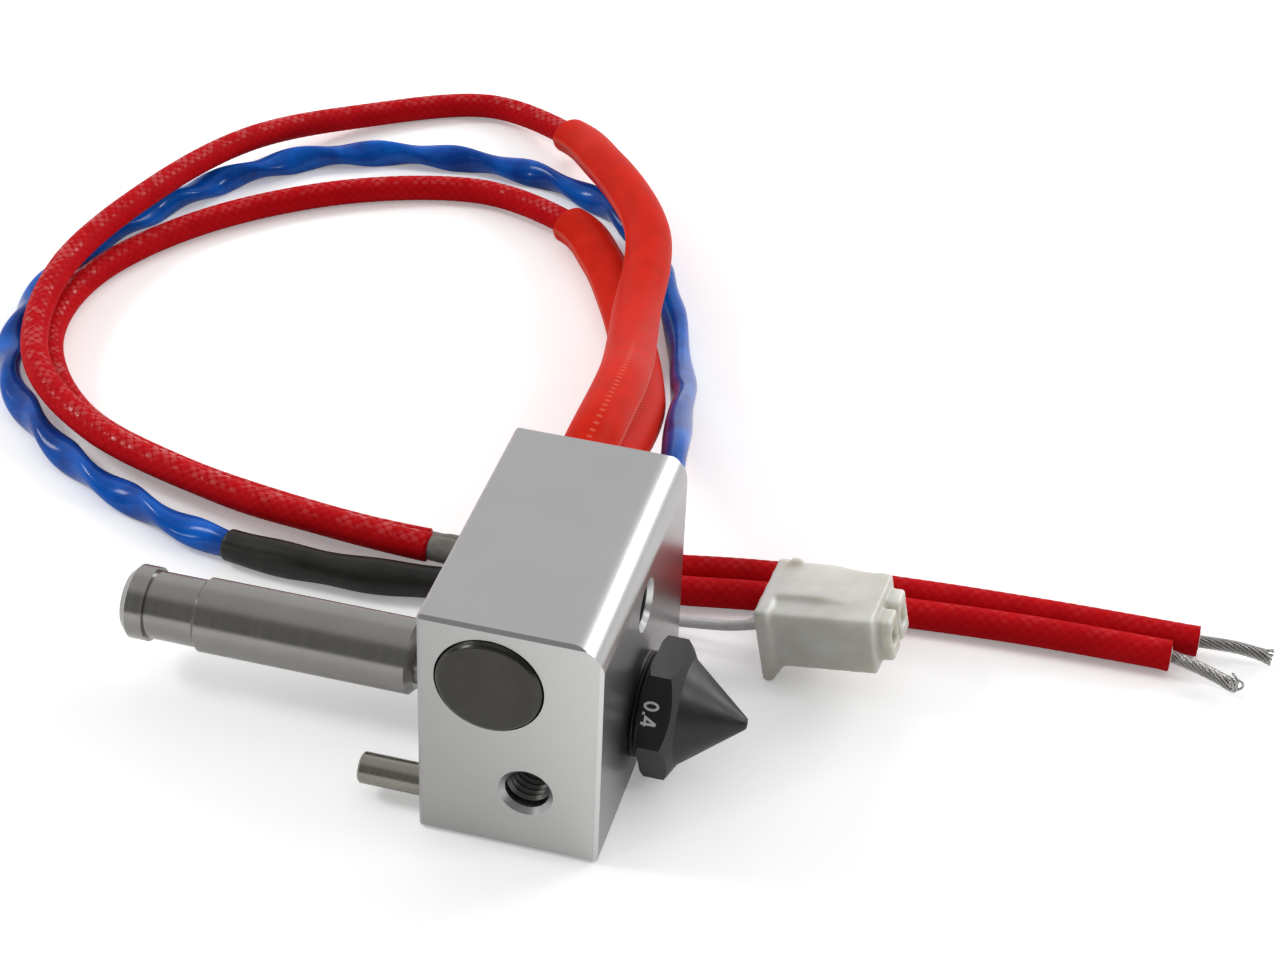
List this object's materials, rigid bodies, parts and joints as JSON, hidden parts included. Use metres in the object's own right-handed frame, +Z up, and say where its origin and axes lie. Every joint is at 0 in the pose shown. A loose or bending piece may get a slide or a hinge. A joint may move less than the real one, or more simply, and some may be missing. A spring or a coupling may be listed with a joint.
{
  "type": "hotend assembly",
  "caption": "Filament printer hotend: aluminium heater block with cartridge heater and thermistor on leads, a coated nozzle and a slim heat break.",
  "frame": {"origin": "middle of the heater block's underside", "axes": "+X the way the nozzle points, +Y the way the leads leave the block, +Z up"},
  "size_m": [0.0877, 0.0797, 0.015],
  "materials": {
    "block_alloy": "satin ground faces, one polished side",
    "heater_steel": "dull drawn stainless sheath",
    "ceramic_fill": "packed white mineral powder",
    "winding_wire": "drawn resistance wire",
    "ceramic_core": "fired ceramic",
    "pin_metal": "nickel pins",
    "end_seal": "ceramic cement",
    "screw_steel": "black oxide",
    "can_steel": "drawn tube",
    "potting": "cured potting",
    "bead_glass": "glass bead",
    "pin_steel": "ground dowel",
    "nozzle_steel": "black coated hardened steel",
    "tube_steel": "turned thin tube",
    "barrel_steel": "turned, satin",
    "sleeve_red": "smooth silicone-coated sleeve",
    "braid_red": "fine glossy braid",
    "splice_grey": "grey crimped splice",
    "tinned_strand": "twisted tinned strands",
    "sleeve_blue": "thin glossy sleeve over a twisted pair",
    "shrink_black": "shrunk tube",
    "wire_white": "thin fluoropolymer wire",
    "connector_nylon": "translucent natural nylon",
    "contact_tin": "stamped tinned strip"
  },
  "bodies": {
    "root": {"heater_block": "block_alloy", "heater_sheath": "heater_steel", "heater_insulation": "ceramic_fill", "heater_winding": "winding_wire", "heater_core": "ceramic_core", "heater_pins": "pin_metal", "heater_end_seal": "end_seal", "thermistor_can": "can_steel", "thermistor_potting": "potting", "thermistor_bead": "bead_glass", "locating_pin": "pin_steel", "lead_sleeve_a": "sleeve_red", "lead_sleeve_b": "sleeve_red", "heater_lead_a": "braid_red", "heater_lead_b": "braid_red", "lead_splice_a": "splice_grey", "lead_splice_b": "splice_grey", "lead_tail_a": "braid_red", "lead_tail_b": "braid_red", "lead_strands_a": "tinned_strand", "lead_strands_b": "tinned_strand", "sensor_sleeve": "sleeve_blue", "splice_shrink": "shrink_black", "sensor_wire_a": "wire_white", "sensor_wire_b": "wire_white", "connector_housing": "connector_nylon", "crimp_contacts": "contact_tin"},
    "nozzle": {"nozzle": "nozzle_steel"},
    "heat_break": {"heat_break_tube": "tube_steel", "heat_break_barrel": "barrel_steel"},
    "set_screw": {"heater_set_screw": "screw_steel"}
  },
  "joints": [
    {"name": "nozzle_unscrew", "type": "slide", "parent": "root", "child": "nozzle", "axis": [1, 0, 0], "range_m": [0, 0.00615]},
    {"name": "heat_break_unscrew", "type": "slide", "parent": "root", "child": "heat_break", "axis": [-1, 0, 0], "range_m": [0, 0.0047]},
    {"name": "set_screw_unscrew", "type": "slide", "parent": "root", "child": "set_screw", "axis": [1, 0, 0], "range_m": [0, 0.0032]}
  ]
}
